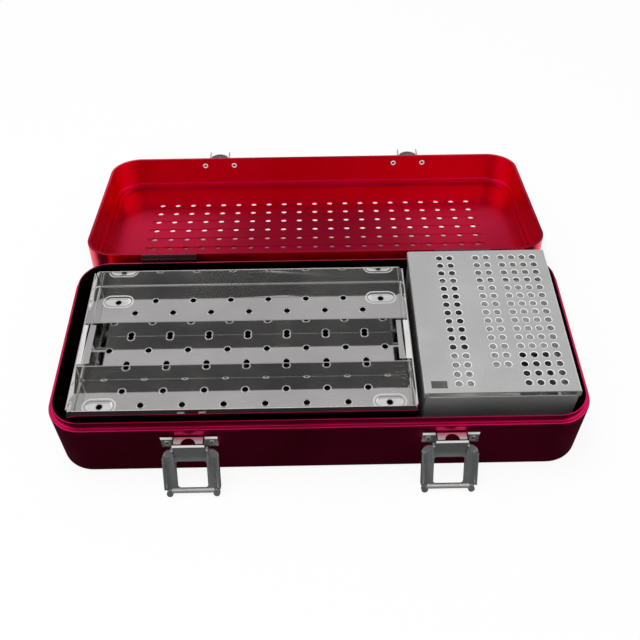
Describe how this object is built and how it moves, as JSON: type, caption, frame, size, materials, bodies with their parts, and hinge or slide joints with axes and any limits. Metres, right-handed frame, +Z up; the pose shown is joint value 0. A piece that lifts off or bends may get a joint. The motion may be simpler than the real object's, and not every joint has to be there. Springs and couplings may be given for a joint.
{
  "type": "sterilization container",
  "caption": "Shallow perforated sterilization case with a hinged lid, two front latches, a divided instrument tray and a screw rack.",
  "frame": {"origin": "centre of the base's underside, on the table", "axes": "+X along the case to the right, +Y from the front to the hinges, +Z up"},
  "size_m": [0.48, 0.461, 0.089],
  "materials": {
    "anodised": "dark red anodised, semi-gloss",
    "steel": "plain stainless",
    "latch_steel": "dark stainless, lightly brushed",
    "polished": "mirror-polished stainless steel",
    "satin": "satin stainless steel"
  },
  "bodies": {
    "base": {"base_shell": "anodised", "left_hinge_base_leaf": "steel", "right_hinge_base_leaf": "steel", "left_hinge_pin": "steel", "right_hinge_pin": "steel", "left_latch_bracket": "latch_steel", "right_latch_bracket": "latch_steel", "left_latch_pin": "latch_steel", "right_latch_pin": "latch_steel"},
    "lid": {"lid_shell": "anodised", "left_hinge_lid_leaf": "steel", "right_hinge_lid_leaf": "steel", "left_lid_catch": "latch_steel", "right_lid_catch": "latch_steel"},
    "left_lever": {"left_latch_lever": "latch_steel"},
    "right_lever": {"right_latch_lever": "latch_steel"},
    "lower_tray": {"lower_tray": "polished"},
    "instrument_tray": {"instrument_tray": "polished", "front_divider": "polished", "rear_divider": "polished"},
    "rack": {"rack_body": "satin", "rack_screw_plate": "satin"},
    "rack_cover": {"rack_cover": "satin"}
  },
  "joints": [
    {"name": "lid_hinge", "type": "hinge", "parent": "base", "child": "lid", "pos_m": [0, 0.107, 0.0683], "axis": [-1, 0, 0], "range_deg": [-189.29, 0]},
    {"name": "left_lever_pivot", "type": "hinge", "parent": "base", "child": "left_lever", "pos_m": [-0.1145, -0.109, 0.045], "axis": [1, 0, 0], "range_deg": [-150.9, 0]},
    {"name": "right_lever_pivot", "type": "hinge", "parent": "base", "child": "right_lever", "pos_m": [0.1145, -0.109, 0.045], "axis": [1, 0, 0], "range_deg": [-150.9, 0]},
    {"name": "lower_tray_lift", "type": "slide", "parent": "base", "child": "lower_tray", "axis": [0, 0, 1], "range_m": [0, 0.11]},
    {"name": "instrument_tray_lift", "type": "slide", "parent": "lower_tray", "child": "instrument_tray", "axis": [0, 0, 1], "range_m": [0, 0.06]},
    {"name": "rack_lift", "type": "slide", "parent": "base", "child": "rack", "axis": [0, 0, 1], "range_m": [0, 0.11]},
    {"name": "rack_cover_slide", "type": "slide", "parent": "rack", "child": "rack_cover", "axis": [0, -1, 0], "range_m": [0, 0.165]}
  ]
}
